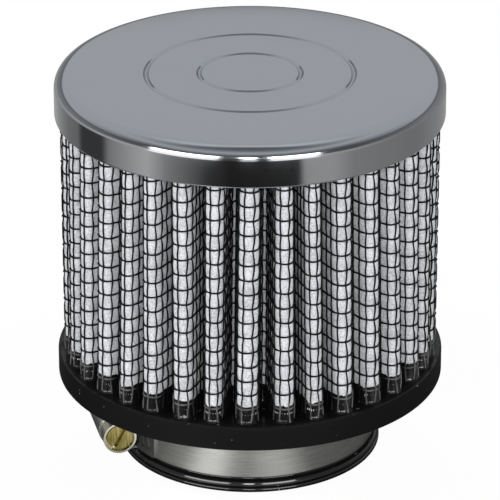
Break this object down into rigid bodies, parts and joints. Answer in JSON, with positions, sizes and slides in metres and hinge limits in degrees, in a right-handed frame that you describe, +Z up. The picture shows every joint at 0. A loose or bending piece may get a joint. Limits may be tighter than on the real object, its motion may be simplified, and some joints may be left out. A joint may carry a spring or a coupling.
{
  "type": "crankcase breather filter",
  "caption": "Clamp-on crankcase breather filter: round chromed cap, mesh-faced pleats, moulded rubber base with a neck, and a worm-drive band clamp.",
  "frame": {"origin": "on the filter's axis, at the bottom of the neck it stands on", "axes": "+Z up along the axis, from the neck to the cap; -Y towards the front of the picture; +X to its right"},
  "size_m": [0.0764, 0.0764, 0.0784],
  "materials": {
    "chromed_steel": "polished chrome plate",
    "black_urethane": "matte cast urethane",
    "coated_wire": "black epoxy-coated wire cloth",
    "white_sheet": "soft white fibre",
    "stainless_band": "bright rolled stainless",
    "yellow_zinc": "yellow zinc plate"
  },
  "bodies": {
    "filter": {"top_cap": "chromed_steel", "top_potting": "black_urethane", "outer_wire_screen": "coated_wire", "filter_sheet": "white_sheet", "base_and_neck": "black_urethane", "clamp_band": "stainless_band", "clamp_housing": "stainless_band"},
    "screw": {"clamp_screw": "yellow_zinc"}
  },
  "joints": [
    {"name": "screw_turn", "type": "hinge", "parent": "filter", "child": "screw", "pos_m": [-0.02785, -0.00617, 0.007], "axis": [0.2164, -0.9763, 0], "continuous": true}
  ]
}
